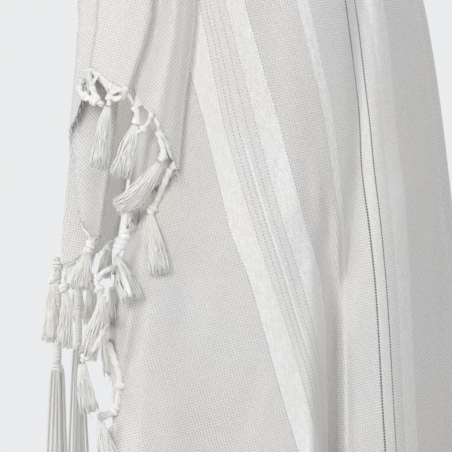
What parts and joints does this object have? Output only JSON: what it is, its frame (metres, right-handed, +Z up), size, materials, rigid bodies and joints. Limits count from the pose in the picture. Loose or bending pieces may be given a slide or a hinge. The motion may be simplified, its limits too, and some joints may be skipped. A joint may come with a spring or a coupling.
{
  "type": "prayer shawl",
  "caption": "Woollen tallit worn open over the shoulders, with pleats over the arms, woven stripes, knotted fringe and corner tzitzit.",
  "frame": {"origin": "base of the wearer's neck, level with the shoulder line and midway between the shoulders", "axes": "+Z up the wearer's body, -Y the way the wearer faces, +X to the wearer's left"},
  "size_m": [0.6796, 0.4007, 1.5007],
  "materials": {
    "cloth": "warm white wool in basket weave, with satin and dark thread stripes",
    "fringe": "cream wool, twisted and knotted",
    "tzitzit": "white twisted wool cord"
  },
  "bodies": {
    "root": {"cloth_back": "cloth", "cloth_side_near": "cloth", "cloth_side_far": "cloth", "cloth_fall_near": "cloth", "cloth_fall_far": "cloth", "fringe_fall_near": "fringe", "fringe_side_near": "fringe", "fringe_fall_far": "fringe", "fringe_side_far": "fringe", "tzitzit_near_top": "tzitzit", "tzitzit_near_hem": "tzitzit", "tzitzit_far_top": "tzitzit", "tzitzit_far_hem": "tzitzit"}
  },
  "joints": []
}
